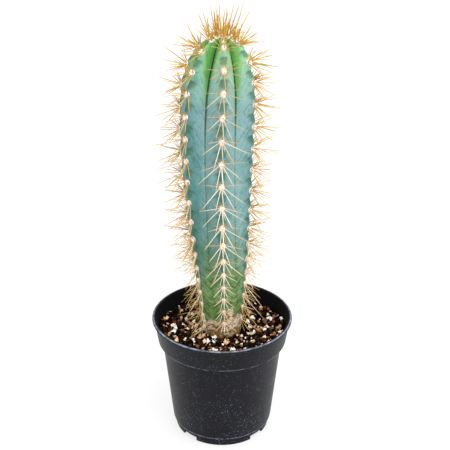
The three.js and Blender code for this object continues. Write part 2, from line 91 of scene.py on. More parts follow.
room = bpy.data.worlds.new("room")
room.use_nodes = True
room_light = room.node_tree.nodes["Background"]
room_light.inputs["Color"].default_value = (1, 1, 1, 1)
room_light.inputs["Strength"].default_value = ROOM_STRENGTH
scene.world = room

floor_mesh = bpy.data.meshes.new("floor")
floor_corners = [(x * FLOOR_HALF, y * FLOOR_HALF, 0) for x, y in ((-1, -1), (1, -1), (1, 1), (-1, 1))]
floor_mesh.from_pydata(floor_corners, [], [(0, 1, 2, 3)])
floor = add_object("floor", floor_mesh)
floor_paint = bpy.data.materials.new("floor_paint")
floor_paint.use_nodes = True
floor_shader = floor_paint.node_tree.nodes["Principled BSDF"]
floor_shader.inputs["Base Color"].default_value = (FLOOR_GREY, FLOOR_GREY, FLOOR_GREY, 1)
floor_shader.inputs["Roughness"].default_value = 0.6
floor_shader.inputs["Emission Color"].default_value = (1, 1, 1, 1)
floor_shader.inputs["Emission Strength"].default_value = FLOOR_GLOW
floor_mesh.materials.append(floor_paint)


# --- Pot ----------------------------------------------------------------------------------
# A thin-walled nursery pot, injection moulded in black polypropylene: a tapered wall, a
# stepped band under a rolled lip, a foot ring with four notches, and eight drain slots.
class Wire:
    """A shader value. Arithmetic on it adds Math nodes to its finish."""

    def __init__(self, finish, socket):
        self.finish, self.socket = finish, socket

    def __add__(self, other):
        return self.finish.math("ADD", self, other)

    def __sub__(self, other):
        return self.finish.math("SUBTRACT", self, other)

    def __rsub__(self, other):
        return self.finish.math("SUBTRACT", other, self)

    def __mul__(self, other):
        return self.finish.math("MULTIPLY", self, other)

    __radd__ = __add__
    __rmul__ = __mul__

    def squared(self):
        return self * self


class Finish:
    """A material whose textures are placed in millimetres of the object."""

    def __init__(self, name, **constants):
        self.material = bpy.data.materials.new(name)
        self.material.use_nodes = True
        self.tree = self.material.node_tree
        self.shader = self.tree.nodes["Principled BSDF"]
        for socket, value in constants.items():
            self.shader.inputs[socket.replace("_", " ")].default_value = value
        place = self.add("ShaderNodeTexCoord", output="Object")
        self.place = self.add("ShaderNodeVectorMath", {"operation": "SCALE"}, {0: place, "Scale": 1 / MM})

    def add(self, kind, settings=None, values=None, output=0):
        """A node of this kind, its settings first, then its sockets' values or links."""
        node = self.tree.nodes.new(kind)
        for setting, value in (settings or {}).items():
            if setting == "stops":
                self.set_stops(node.color_ramp, value)
            else:
                setattr(node, setting, value)
        for socket, value in (values or {}).items():
            self.feed(node.inputs[socket], value)
        return Wire(self, node.outputs[output])

    def set_stops(self, ramp, stops):
        while len(ramp.elements) < len(stops):
            ramp.elements.new(1)
        for element, (position, color) in zip(ramp.elements, stops):
            element.position = position
            element.color = (*color, 1)

    def feed(self, socket, value):
        if isinstance(value, Wire):
            self.tree.links.new(value.socket, socket)
        elif isinstance(value, tuple) and len(value) < len(socket.default_value):
            socket.default_value = (*value, 1)
        else:
            socket.default_value = value

    def math(self, operation, *values):
        return self.add("ShaderNodeMath", {"operation": operation}, dict(enumerate(values)))

    def blend(self, share, first, second):
        """From the first colour to the second as the share goes from 0 to 1."""
        return self.add("ShaderNodeMix", {"data_type": "RGBA"}, {0: share, 6: first, 7: second}, 2)

    def coats(self, color, *coats):
        """A colour with others laid over it in turn, each given with its share."""
        for share, coat in coats:
            color = self.blend(share, color, coat)
        return color

    def ramp(self, share, stops):
        """Through several colours, each given with the share at which it is reached."""
        return self.add("ShaderNodeValToRGB", {"stops": stops}, {0: share}, "Color")

    def scaled(self, factors):
        """The place with X, Y and Z each taken this many times."""
        return self.add("ShaderNodeVectorMath", {"operation": "MULTIPLY"}, {0: self.place, 1: factors})

    def clouds(self, size, detail=2.0, roughness=0.5, stretch=(1, 1, 1)):
        """Soft noise from 0 to 1 whose blotches are about this many millimetres wide."""
        place = self.scaled(stretch)
        values = {"Vector": place, "Scale": 1 / size, "Detail": detail, "Roughness": roughness}
        return self.add("ShaderNodeTexNoise", {}, values, "Fac")

    def cells(self, size, output="Distance"):
        """Distance from the middle of cells of about this size, or another output."""
        return self.add("ShaderNodeTexVoronoi", {}, {"Vector": self.place, "Scale": 1 / size}, output)

    def step(self, value, low, high):
        """From 0 to 1 as the value goes from low to high, softly."""
        values = {"Value": value, "From Min": low, "From Max": high}
        return self.add("ShaderNodeMapRange", {"interpolation_type": "SMOOTHSTEP"}, values)

    def fade(self, value, low, high):
        """From 1 to 0 as the value goes from low to high, softly."""
        return 1 - self.step(value, low, high)

    def trait(self, name):
        """A value kept at the mesh's points, such as the place along a spine."""
        return self.add("ShaderNodeAttribute", {"attribute_name": name}, output="Fac")

    def axis(self, name):
        """How far along X, Y or Z a place lies, in millimetres."""
        return self.add("ShaderNodeSeparateXYZ", {}, {0: self.place}, name)

    def surface(self, color, roughness=None, relief=None, depth=0.0):
        """Feeds the shader; a relief from 0 to 1 is this many millimetres deep."""
        self.feed(self.shader.inputs["Base Color"], color)
        if roughness is not None:
            self.feed(self.shader.inputs["Roughness"], roughness)
        if relief is not None:
            values = {"Height": relief, "Distance": depth * MM, "Strength": 1.0}
            self.feed(self.shader.inputs["Normal"], self.add("ShaderNodeBump", {}, values))
        return self.material


def make_piece(name, points, faces, material, sharp_angle=None, traits=None):
    """A piece from points in millimetres, smooth but for edges over the sharp angle in degrees."""
    mesh = bpy.data.meshes.new(name)
    mesh.from_pydata((np.asarray(points, float) * MM).tolist(), [], faces)
    mesh.shade_smooth()
    if sharp_angle is not None:
        mesh.set_sharp_from_angle(angle=radians(sharp_angle))
    for trait, values in (traits or {}).items():
        layer = mesh.attributes.new(trait, "FLOAT", "POINT")
        layer.data.foreach_set("value", np.asarray(values, np.float32))
    mesh.materials.append(material)
    piece = add_object(name, mesh)
    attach(piece, "root")
    return piece


def ring(radius, height, count, middle=0.0):
    """Points around an upright axis, from the front round by the right."""
    turns = np.radians(np.arange(count) * 360 / count)
    return [(middle + radius * sin(turn), -radius * cos(turn), height) for turn in turns]


def ring_faces(rows, columns):
    """Faces of a tube of rings; each end is closed by one face."""
    faces = []
    for row in range(rows - 1):
        here, above = row * columns, (row + 1) * columns
        for column in range(columns):
            beside = (column + 1) % columns
            faces.append((here + column, here + beside, above + beside, above + column))
    faces.append(tuple(reversed(range(columns))))
    faces.append(tuple(range((rows - 1) * columns, rows * columns)))
    return faces


def shifted(faces, start):
    """Faces whose points follow that many others in the same mesh."""
    return [tuple(start + corner for corner in face) for face in faces]


def round_corners(outline, steps=5):
    """Replaces each corner (radius, height, fillet) of an outline by a short curve."""
    points = []
    for i, (x, y, fillet) in enumerate(outline):
        corner = np.array([x, y])
        if fillet == 0:
            points.append(corner)
            continue
        before = np.array(outline[i - 1][:2]) - corner
        after = np.array(outline[i + 1][:2]) - corner
        start = corner + before / np.linalg.norm(before) * fillet
        end = corner + after / np.linalg.norm(after) * fillet
        for t in np.linspace(0, 1, steps):
            points.append((1 - t) ** 2 * start + 2 * t * (1 - t) * corner + t ** 2 * end)
    return np.array(points)


POT_SEGMENTS = 240
POT_SHARP_ANGLE = 40
POT_YAW = 1.9  # degrees that the notches are turned
FLOOR_UNDERSIDE, FLOOR_TOP = 3.8, 5.6
BORE_FOOT, BORE_WAIST, BORE_SHELF, BORE_LIP = (41.8, FLOOR_TOP), (50.1, 85.0), (53.6, 87.0), (56.4, 105.6)
POT_OUTLINE = [  # radius, height, fillet
    (0.5, FLOOR_UNDERSIDE, 0), (39.3, FLOOR_UNDERSIDE, 0.6), (39.3, 0, 0.3), (41.3, 0, 0.5),
    (41.3, 6.3, 0.4), (43.2, 7.2, 0.4), (43.6, 8.5, 1.2), (51.5, 84.5, 0.5),
    (55.1, 85.3, 0.6), (57.9, 103.6, 0.5), (59.4, 104.3, 0.5), (60.05, 105.5, 0.9),
    (59.3, 106.8, 1.0), (57.0, 106.8, 0.5), (*BORE_LIP, 0.5), (*BORE_SHELF, 1.0),
    (*BORE_WAIST, 1.0), (*BORE_FOOT, 1.5), (0.5, FLOOR_TOP, 0),
]
NOTCHES, NOTCH_WIDTH, NOTCH_HEIGHT, NOTCH_RADIUS = 4, 14.8, 3.6, 40.3
DRAIN_SLOTS, SLOT_WIDTH, SLOT_START, SLOT_END = 8, 3.6, 20.0, 34.0
CORE_HALF = 4  # half of how far the mould's cores reach


def box_corners(middle, half, turn):
    """Eight corners of a box turned about the pot's axis by degrees."""
    cosine, sine = cos(radians(turn)), sin(radians(turn))
    corners = []
    for up, back, right in itertools.product((-1, 1), repeat=3):
        x = middle[0] + half[0] * right
        y = middle[1] + half[1] * back
        corners.append((x * cosine - y * sine, x * sine + y * cosine, middle[2] + half[2] * up))
    return corners


BOX_FACES = [(0, 2, 3, 1), (4, 5, 7, 6), (0, 1, 5, 4), (2, 6, 7, 3), (0, 4, 6, 2), (1, 3, 7, 5)]


def cut_away(piece, boxes):
    """Takes boxes out of a piece, as the mould's cores leave them open."""
    points, faces = [], []
    for corners in boxes:
        faces += shifted(BOX_FACES, len(points))
        points += corners
    mesh = bpy.data.meshes.new("cutters")
    mesh.from_pydata((np.array(points) * MM).tolist(), [], faces)
    cutter = add_object("cutters", mesh)
    cut = piece.modifiers.new("cut", "BOOLEAN")
    cut.operation, cut.solver, cut.object = "DIFFERENCE", "EXACT", cutter
    result = piece.evaluated_get(bpy.context.evaluated_depsgraph_get())
    trimmed = bpy.data.meshes.new_from_object(result)
    piece.modifiers.clear()
    piece.data = trimmed
    bpy.data.objects.remove(cutter)


DUST_FADE = (20, 95)  # the dust thins out between these heights
SPECKS = ((0.7, 0.46), (1.3, 0.7))  # how far apart they can lie, and the share of places left empty
WORN_AND_HIGHLIT_EDGES = ((8.4, 0.6), (86.0, 0.32))  # height of an edge, and how much it is lightened, by wear and as a painted highlight
LIP_RIDGE_HEIGHTS, LIP_RIDGE_RADII = (106.1, 106.6), (57.9, 58.6)
MID_WALL, WALL_FLARE = 54.8, 0.151  # radius midway through the band's wall at its foot; its slope

plastic = Finish("black_polypropylene", IOR=1.49, Specular_IOR_Level=0.13)
pot_level = plastic.axis("Z")
flat_place = plastic.scaled((1, 1, 0))
from_axis = plastic.add("ShaderNodeVectorMath", {"operation": "LENGTH"}, {0: flat_place}, "Value")

# Dust gathers in drifts, thickest low down: a thin film, and pale specks of two sizes.
drifts = plastic.step(plastic.clouds(26, 3), 0.36, 0.6) * (1 - 0.6 * plastic.step(pot_level, *DUST_FADE))
film = plastic.step(plastic.clouds(0.9, 4, 0.7), 0.6, 0.78) * drifts
specks = 0.0
for speck_spacing, empty_share in SPECKS:
    speck_cell = plastic.cells(speck_spacing, "Position")
    speck_draw = plastic.add("ShaderNodeTexWhiteNoise", {}, {0: speck_cell}, "Value")
    speck_size = plastic.step(speck_draw, empty_share, 1.0) * 0.3
    specks += plastic.step(speck_size - plastic.cells(speck_spacing), 0.0, 0.04)
specks *= 0.22 + 0.6 * drifts

# Handling leaves upright scuffs and rubs the edges grey; the pale lines along the edges are partly a painted
# highlight, and the top of the lip has a painted highlight.
scuffs = plastic.step(plastic.clouds(5, 4, 0.65, (1, 1, 0.12)), 0.62, 0.75)
rubbing_and_highlight_noise = plastic.clouds(4, 5, 0.75)
# Pale lines along two edges: partly wear, partly a painted highlight.
edges = 0.0
for edge, wear_and_highlight_share in WORN_AND_HIGHLIT_EDGES:
    edges += wear_and_highlight_share * plastic.fade((pot_level - edge).squared(), 0.02, 0.2)
edge_wear_and_highlight = edges * plastic.step(rubbing_and_highlight_noise, 0.4, 0.6)
# A painted highlight along the top of the lip, broken up by the same noise that breaks up the edges' lines.
lip_ridge = plastic.step(pot_level, *LIP_RIDGE_HEIGHTS) * plastic.step(from_axis, *LIP_RIDGE_RADII)
painted_lip_highlight = lip_ridge * (0.12 + 0.5 * plastic.step(rubbing_and_highlight_noise, 0.35, 0.65))

charcoal = plastic.blend(plastic.clouds(30, 3), (0.0028, 0.0029, 0.0045), (0.006, 0.0061, 0.009))
mid_wall = MID_WALL + (pot_level - BORE_SHELF[1]) * WALL_FLARE
shaded_inside = plastic.step(mid_wall - from_axis, -0.4, 0.4) * plastic.step(pot_level, 86, 88)
# The grey-blue coat holds dust, scuffs and worn edges, and also the painted highlights on the edges and the
# lip.
pot_color = plastic.coats(
    charcoal,
    (0.05 * film + 0.03 * scuffs + edge_wear_and_highlight + painted_lip_highlight, (0.38, 0.44, 0.54)),
    (0.45 * specks, (0.5, 0.57, 0.74)),
    (0.8 * shaded_inside, (0.001, 0.001, 0.0012)))
pot_finish = plastic.surface(
    pot_color,
    roughness=0.36 + 0.12 * plastic.clouds(12, 3) + 0.3 * specks + 0.4 * shaded_inside,
    relief=plastic.clouds(0.7, 3, 0.6) * 0.6 + scuffs * 0.4,
    depth=0.06)

pot_profile = round_corners(POT_OUTLINE)
pot_points = [point for radius, height in pot_profile for point in ring(radius, height, POT_SEGMENTS)]
pot = make_piece(
    "nursery_pot", pot_points, ring_faces(len(pot_profile), POT_SEGMENTS), pot_finish)
notch_half = (NOTCH_WIDTH / 2, CORE_HALF, NOTCH_HEIGHT)
notches = [
    box_corners((0, -NOTCH_RADIUS, 0), notch_half, POT_YAW + 45 + 360 / NOTCHES * notch)
    for notch in range(NOTCHES)
]
slot_middle = (0, -(SLOT_START + SLOT_END) / 2, CORE_HALF)
slot_half = (SLOT_WIDTH / 2, (SLOT_END - SLOT_START) / 2, CORE_HALF)
drain_slots = [
    box_corners(slot_middle, slot_half, POT_YAW + 360 / DRAIN_SLOTS * slot) for slot in range(DRAIN_SLOTS)
]
cut_away(pot, notches + drain_slots)
pot.data.shade_smooth()
pot.data.set_sharp_from_angle(angle=radians(POT_SHARP_ANGLE))
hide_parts("pot")

# --- Stem ---------------------------------------------------------------------------------
# One living column of six ribs, waxy blue-green skin over soft flesh, corky at the foot.
# Each rib's crest dips below every pad, with a crease that runs out onto its flanks.
RIBS = 6
RIB_PITCH = 60.0
FIRST_RIB = 6.6  # bearing of the front rib, degrees from the front towards the right
CREST_TURNS = (0, -4, -5, 0, 4, 3)  # degrees that each rib's crest leans off the even pitch
STEM_TOP = 345.3
SHOULDER_HEIGHT, SHOULDER_RADIUS = 290.0, 31.7
COLLAR_HEIGHT, COLLAR_RADIUS = 97.0, 17.6
ROOT_END_HEIGHT, ROOT_END_RADIUS = 70.0, 13.0
DOME_POWER, COLUMN_SWELL = 2.3, 1.1
LEAN, LEAN_START, LEAN_POWER, FOOT_OFFSET = 3.7, 85.0, 1.7, -0.6
FURROW_HEIGHTS = (97, 104, 120, 168, 213, 272, 290, 305, 320, 338, 345.3)
FURROW_SHARES = (1, 0.92, 0.9, 0.87, 0.78, 0.73, 0.7, 0.67, 0.61, 0.5, 0.4)
CREST_EDGE, FLANK_SWELL, CROWN_SWELL = 1.0, 0.7, 1.9
CREST_ROUNDING = 1.6  # how sharply the round of a crest turns into its flanks
SWELL_RISE = (285, 322)  # heights between which the flanks swell to the crown's full form
FURROW_SLIT, FURROW_SLIT_WIDTH = 0.65, 1.15  # depth in mm and width in degrees
SLIT_RISE, CROWN_SLIT_RISE = (150, 190), (SHOULDER_HEIGHT, 330)
DIP_DEPTH, CREASE_DEPTH, CHIN_SWELL = 0.85, 0.4, 0.35
CREASE_START, CREASE_SLANT = 0.38, 0.42  # its place below the pad on the crest, and how much more aside
FLAKE_DEPTH, WRINKLE_DEPTH = 0.2, 0.22
PADS_PER_RIB = 17
LOWEST_PAD = 101.0
SPACING_LOW, SPACING_HIGH, SPACING_CHANGE = 11.6, 17.9, (138.0, 231.0)
CROWN_CROWDING = 0.26
RIB_STARTS = [(340.1, 1.03), (341.8, 0.975), (338.4, 1.01), (341, 0.99), (336.9, 1.02), (336.4, 0.986)]
COLUMNS_PER_RIB, RING_SPACING, CROWN_RINGS = 30, 0.8, 70
TIP_GAP = 0.02  # the last ring stands this far below the very top
CORK_HEIGHT, CORK_TONGUE, CORK_TONGUE_BEARING = 110.5, 13.0, 0.45  # bearing in radians
CORK_FADE = 1.5  # the cork thins out over this much on each side of its edge
FRESH_HEIGHTS = (270, 285, 298, 310, 326, 340, 345.3)  # up here the furrows' sides are fresh green,
FRESH_EDGES = (1.05, 0.97, 0.88, 0.76, 0.5, 0.1, -0.1)  # from this share of the way out to the furrow


def eased(value, low, high):
    """0 at the low end, 1 at the high end, eased at both."""
    share = np.clip((value - low) / (high - low), 0, 1)
    return share * share * (3 - 2 * share)


def axis_shift(height):
    """How far to the right the stem's own axis lies; it bows to the left."""
    climb = np.clip((height - LEAN_START) / (STEM_TOP - LEAN_START), 0, 1)
    return FOOT_OFFSET * (1 - climb) - LEAN * np.sin(pi * climb ** LEAN_POWER)


def crest_radius(height):
    """How far out the ribs' crests reach: a slimmer foot, a straight column and a dome."""
    rise = np.clip((height - SHOULDER_HEIGHT) / (STEM_TOP - SHOULDER_HEIGHT), 0, 1)
    climb = np.clip((height - COLLAR_HEIGHT) / (SHOULDER_HEIGHT - COLLAR_HEIGHT), 0, 1)
    dome = SHOULDER_RADIUS * (1 - rise ** DOME_POWER) ** (1 / DOME_POWER)
    column = COLLAR_RADIUS + (SHOULDER_RADIUS - COLLAR_RADIUS) * np.sin(pi / 2 * climb) ** COLUMN_SWELL
    return np.where(height > SHOULDER_HEIGHT, dome, column)


def pad_spacing(height):
    growth = eased(height, *SPACING_CHANGE)
    crowding = CROWN_CROWDING * eased(height, SHOULDER_HEIGHT, STEM_TOP)
    return (SPACING_LOW + (SPACING_HIGH - SPACING_LOW) * growth) * (1 - crowding)


def pad_heights(start, stretch):
    """A rib's pads from the top one down, each a spacing below the one before."""
    heights = [start]
    while len(heights) < PADS_PER_RIB:
        halfway = heights[-1] - 0.5 * stretch * pad_spacing(heights[-1])
        heights.append(heights[-1] - stretch * pad_spacing(halfway))
    return np.array(heights)


rib_pads = [pad_heights(*start) for start in RIB_STARTS]


def pad_phase(rib, height):
    """0 at a pad, rising to 1 at the next pad down."""
    heights = rib_pads[rib][::-1]
    steps = np.arange(PADS_PER_RIB)[::-1]
    return np.interp(height, heights, steps) % 1.0


def bell(value, middle, width):
    """1 at the middle, falling off smoothly on both sides."""
    return np.exp(-((value - middle) / width) ** 2)


def stem_radius(rib, offset, height):
    """Radius at an angle in degrees off a rib's crest."""
    crest = crest_radius(height)
    half = radians(RIB_PITCH / 2)
    turn = np.radians(np.abs(offset))
    side = turn / half
    depth = 1 - np.interp(height, FURROW_HEIGHTS, FURROW_SHARES)
    sharpness = np.clip(depth / 0.1, 0, 1) * np.clip(crest / 12, 0, 1)
    edge = crest + CREST_EDGE * sharpness
    furrow = crest * (1 - depth)
    flank = edge * furrow * sin(half) / (edge * np.sin(turn) + furrow * np.sin(half - turn))
    swell = FLANK_SWELL + CROWN_SWELL * eased(height, *SWELL_RISE)
    flank = flank + swell * sharpness * np.sin(pi * side ** 1.4)
    both = np.exp(-CREST_ROUNDING * (crest + 0.1)) + np.exp(-CREST_ROUNDING * (flank + 0.1 * side))
    bare = -np.log(both) / CREST_ROUNDING + 0.05 * (1 - sharpness)
    crown_slit = 1 + 0.9 * eased(height, *CROWN_SLIT_RISE)
    from_furrow = RIB_PITCH / 2 - np.abs(offset)
    slit = FURROW_SLIT * crown_slit * sharpness * np.exp(-from_furrow / (FURROW_SLIT_WIDTH * crown_slit))
    slit = slit * eased(height, *SLIT_RISE)
    return bare - slit * np.clip(depth / 0.25, 0.3, 1) - crest_relief(rib, side, height) * sharpness


def crest_relief(rib, side, height):
    """How far the dips and creases below the pads lie under the plain rib."""
    phase = pad_phase(rib, height)
    in_rows = (height < rib_pads[rib][0]) * (height > rib_pads[rib][-1])
    dip = DIP_DEPTH * bell(phase, 0.45, 0.13) * np.clip(1 - 1.8 * side, 0, 1)
    crease = CREASE_DEPTH * bell(phase, CREASE_START + CREASE_SLANT * side, 0.06) * bell(side, 0.1, 0.22)
    chin = CHIN_SWELL * bell(phase, 0.8, 0.14) * bell(side, 0, 0.4)
    return (dip + crease - chin) * in_rows


def cork_edge(bearing):
    """Height to which the stem is corky; it climbs highest at the right of the front."""
    ragged = 1.4 * np.sin(3.1 * bearing + 1) + 1.2 * np.sin(9.7 * bearing) + 0.6 * np.sin(23 * bearing + 2)
    band = 4 * eased(bearing, 0.66, 0.9) * (1 - eased(bearing, 1.6, 2.2))
    return CORK_HEIGHT + ragged + band + CORK_TONGUE * np.exp(-((bearing - CORK_TONGUE_BEARING) / 0.2) ** 4)


def rib_bearing(rib, offset):
    """Bearing in degrees; the crest leans aside while the furrows stay in place."""
    return FIRST_RIB + rib * RIB_PITCH + offset + CREST_TURNS[rib] * (1 - np.abs(offset) / (RIB_PITCH / 2))


def freshness(rib, side, height):
    """Over 0 beside the furrows of the crown; the front rib has least of it."""
    return side - np.interp(height, FRESH_HEIGHTS, FRESH_EDGES) - (0.14 if rib == 0 else 0)


def stem_point(rib, offset, height):
    """Places on the skin, at angles off a rib's crest and at heights."""
    bearing = np.radians(rib_bearing(rib, offset))
    radius = stem_radius(rib, offset, height)
    x = axis_shift(height) + radius * np.sin(bearing)
    return np.stack([x, -radius * np.cos(bearing), height + 0 * bearing], -1)


def roughen(points, bearings, amounts):
    """Moves points in and out of the axis, as the flaking cork and the wrinkles do."""
    for point, bearing, amount in zip(points, bearings, amounts):
        place = Vector(point)
        flakes = noise.noise(place / 2.6) + 0.6 * noise.noise(place / 1.1)
        wrinkles = noise.noise(Vector((place.x / 2.2, place.y / 2.2, place.z / 22)))
        push = amount * FLAKE_DEPTH * flakes + WRINKLE_DEPTH * wrinkles
        point[0] += push * sin(bearing)
        point[1] -= push * cos(bearing)


def stem_heights():
    """Heights of the stem's rings, close together where the crown turns over."""
    column = np.arange(COLLAR_HEIGHT, SHOULDER_HEIGHT, RING_SPACING)
    turn = np.linspace(0, pi / 2, CROWN_RINGS)[:-1]
    dome = SHOULDER_HEIGHT + (STEM_TOP - SHOULDER_HEIGHT) * np.sin(turn) ** (2 / DOME_POWER)
    return np.concatenate([column, dome, [STEM_TOP - TIP_GAP]])


def build_stem():
    """The stem's points and faces, and what its finish needs to know at each point."""
    offsets = np.linspace(-RIB_PITCH / 2, RIB_PITCH / 2, COLUMNS_PER_RIB + 1)[:-1]
    sides = np.abs(offsets) / (RIB_PITCH / 2)
    bearings = np.radians(np.concatenate([rib_bearing(rib, offsets) for rib in range(RIBS)]))
    cork_heights = cork_edge(np.where(bearings > pi, bearings - 2 * pi, bearings))
    rings = []
    traits = {"side": [], "phase": [], "cork": [], "fresh": []}
    for height, radius in ((ROOT_END_HEIGHT, ROOT_END_RADIUS), (COLLAR_HEIGHT - 4, COLLAR_RADIUS - 0.7)):
        x = FOOT_OFFSET + radius * np.sin(bearings)
        rings.append(np.stack([x, -radius * np.cos(bearings), np.full(len(bearings), height)], -1))
        for name, value in (("side", 0.0), ("phase", 0.0), ("cork", 1.0), ("fresh", -1.0)):
            traits[name].append(np.full(len(bearings), value))
    for height in stem_heights():
        level = np.full(len(offsets), height)
        rings.append(np.concatenate([stem_point(rib, offsets, level) for rib in range(RIBS)]))
        corky = 1 - eased(height, cork_heights - CORK_FADE, cork_heights + CORK_FADE)
        roughen(rings[-1], bearings, corky)
        traits["side"].append(np.tile(sides, RIBS))
        traits["phase"].append(np.concatenate([pad_phase(rib, level) for rib in range(RIBS)]))
        traits["cork"].append(corky)
        traits["fresh"].append(np.concatenate([freshness(rib, sides, height) for rib in range(RIBS)]))
    faces = ring_faces(len(rings), len(bearings))
    return np.concatenate(rings), faces, {name: np.concatenate(rows) for name, rows in traits.items()}


# Heights between which the skin changes, from the foot up.
FOOT_FADE, AGE_FADE, SHADE_RISE, SHADE_FADE = (108, 138), (124, 190), (140, 170), (190, 245)
SLIT_SHADE_RISE, CROWN_RISE, YOUTH_RISE = (155, 185), (250, 300), (290, 354)

skin = Finish("waxy_skin", IOR=1.45, Specular_IOR_Level=0.35)
skin_level = skin.axis("Z")
off_crest = skin.trait("side")  # 0 along a rib's crest, 1 in the furrow
below_pad = skin.trait("phase")  # 0 at a pad, 1 at the next one down
patches = skin.clouds(14, 4, 0.6)
fibres = skin.clouds(3.2, 4, 0.6, (1, 1, 0.16))
mottle = skin.clouds(1.3, 4, 0.65)
veins = skin.clouds(2.0, 5, 0.75, (1, 1, 0.45))
# Painted light: 1 on the right, where the key light falls, down to 0 on the shaded left.
key_light_side = skin.step(skin.axis("X"), -26, 26)
crownward = skin.step(skin_level, *CROWN_RISE)


def slanting_strokes(aside, slant, scale):
    """Noise drawn out into strokes that slant down from a rib's crest to its furrows."""
    places = {0: off_crest * aside, 1: 0.0, 2: skin_level + slant * off_crest}
    slope = skin.add("ShaderNodeCombineXYZ", {}, places)
    values = {"Vector": slope, "Scale": scale, "Detail": 4.0, "Roughness": 0.65}
    return skin.add("ShaderNodeTexNoise", {}, values, "Fac")


# The column: fibrous blue-green under a pale bloom, with dark veins and feathered strokes. The bloom is laid
# on thicker on the right, at the front and towards the crown as a painted highlight.
bloom_and_highlight = patches + 0.5 * off_crest + 0.6 * (mottle - 0.5) + 0.42 * (key_light_side - 0.5) + 0.28 * crownward
bloom_and_highlight = skin.step(bloom_and_highlight + 0.2 * skin.fade(skin.axis("Y"), -30, -18), 0.5, 1.1)
waxy = skin.coats(
    (0.066, 0.195, 0.192),
    (0.7 * skin.step(fibres, 0.3, 0.7) + 0.3 * mottle, (0.11, 0.262, 0.268)),
    (0.8 * bloom_and_highlight, (0.22, 0.36, 0.375)),
    (0.5 * skin.step(veins, 0.54, 0.64), (0.028, 0.12, 0.1)),
    (0.55 * skin.step(slanting_strokes(3, 24, 0.42), 0.54, 0.6), (0.03, 0.13, 0.11)))

# The crown: young light green skin, fresh deep green towards the furrows, with a pale rim as a painted
# highlight. The young skin is darkened on the left as painted shade, and the deep green is lighter on the
# right as painted light.
young = skin.coats(
    (0.23, 0.48, 0.24),
    (skin.step(mottle, 0.3, 0.7), (0.34, 0.58, 0.33)),
    (0.42 * (1 - key_light_side), (0.07, 0.25, 0.14)))
fresh = skin.trait("fresh") + 0.3 * (patches - 0.5) + 0.4 * (fibres - 0.5) + 0.3 * (mottle - 0.5)
deep_fresh_with_painted_light = skin.blend(key_light_side, (0.035, 0.18, 0.014), (0.1, 0.3, 0.045))
# A painted highlight: a pale line along the rib's edge beside each furrow.
rim_highlight = skin.fade((off_crest - 0.9).squared(), 0.0, 0.0009)

# The lower stem: old green skin, paler at the foot, with dark and light chevrons.
chevrons = slanting_strokes(4, 10, 0.3)
old = skin.coats(
    (0.05, 0.125, 0.033),
    (skin.step(mottle + 0.4 * fibres, 0.5, 0.9), (0.165, 0.275, 0.09)),
    (skin.fade(skin_level, *FOOT_FADE), (0.11, 0.19, 0.05)),
    (0.75 * skin.step(chevrons, 0.5, 0.58), (0.016, 0.06, 0.01)),
    (0.6 * skin.fade(chevrons, 0.38, 0.45), (0.27, 0.36, 0.19)))
age = skin.fade(skin_level + 50 * (patches - 0.5) - 26 * off_crest, *AGE_FADE)

# Darker green: painted shade in the dip and the crease below each pad, on the left flanks and in the slits;
# and blotches.
dip_shade = skin.fade((below_pad - 0.56).squared(), 0.0, 0.06) * skin.fade(off_crest, 0.1, 0.4)
flank_shade = (1 - key_light_side) * skin.fade(skin_level, *SHADE_FADE) * skin.step(skin_level, *SHADE_RISE)
off_crease = below_pad - CREASE_START - CREASE_SLANT * off_crest
crease_shade = skin.fade(off_crease.squared(), 0.0, 0.005) * skin.fade(off_crest, 0.2, 0.6)
blotches = skin.step(skin.clouds(5, 5, 0.75), 0.55, 0.66) * (1 - 0.7 * skin.step(off_crest, 0.3, 0.8))
slit_strength = 0.1 + 0.5 * skin.step(skin_level, *SLIT_SHADE_RISE) + 0.25 * crownward
slit_shade = skin.step(off_crest + 0.06 * crownward, 0.965, 1.0) * slit_strength

# Cork: pale sheets that peel off a brown ground, with an olive edge, and scratches above it.
cork = skin.trait("cork")
cork_grain = skin.clouds(1.5, 5, 0.8, (0.6, 0.6, 1.1))
cork_ground = skin.blend(skin.step(cork_grain, 0.36, 0.62), (0.05, 0.025, 0.008), (0.36, 0.22, 0.08))
cork_sheet = skin.blend(skin.step(cork_grain, 0.4, 0.58), (0.16, 0.09, 0.042), (0.71, 0.58, 0.42))
sheet_share = skin.clouds(6, 4, 0.65, (0.7, 0.7, 1.2)) + 0.01 * skin.math("MINIMUM", skin_level, 112) - 1.05
peeled = skin.step(sheet_share, 0.44, 0.5)
scratches = skin.step(skin.clouds(2.2, 3, 0.6, (1, 1, 0.3)), 0.66, 0.74)

skin_color = skin.coats(
    waxy,
    (skin.step(skin_level + 30 * (patches - 0.5), *YOUTH_RISE), young),
    (0.8 * skin.step(fresh, -0.12, 0.12), (0.15, 0.36, 0.12)),
    (0.85 * skin.step(fresh, 0.0, 0.3), deep_fresh_with_painted_light),
    (0.22 * rim_highlight, (0.36, 0.52, 0.44)),
    (age, old),
    (0.7 * dip_shade, (0.022, 0.09, 0.046)),
    (0.5 * flank_shade, (0.035, 0.12, 0.085)),
    (0.4 * crease_shade, (0.02, 0.08, 0.04)),
    (0.4 * blotches, (0.05, 0.17, 0.09)),
    (slit_shade, (0.004, 0.065, 0.008)),
    (skin.step(cork, 0.3, 0.7), skin.blend(peeled, cork_ground, cork_sheet)),
    (0.5 * skin.step(cork, 0.0, 0.3) * skin.fade(cork, 0.5, 0.9), (0.12, 0.1, 0.02)),
    (scratches * (0.12 + 0.3 * age), (0.36, 0.46, 0.36)))
skin_finish = skin.surface(
    skin_color,
    roughness=0.48 + 0.2 * patches + 0.3 * cork,
    relief=fibres * 0.4 + veins * 0.5 + mottle * 0.4 + cork * (cork_grain * 0.5 + peeled * 0.4),
    depth=0.5)

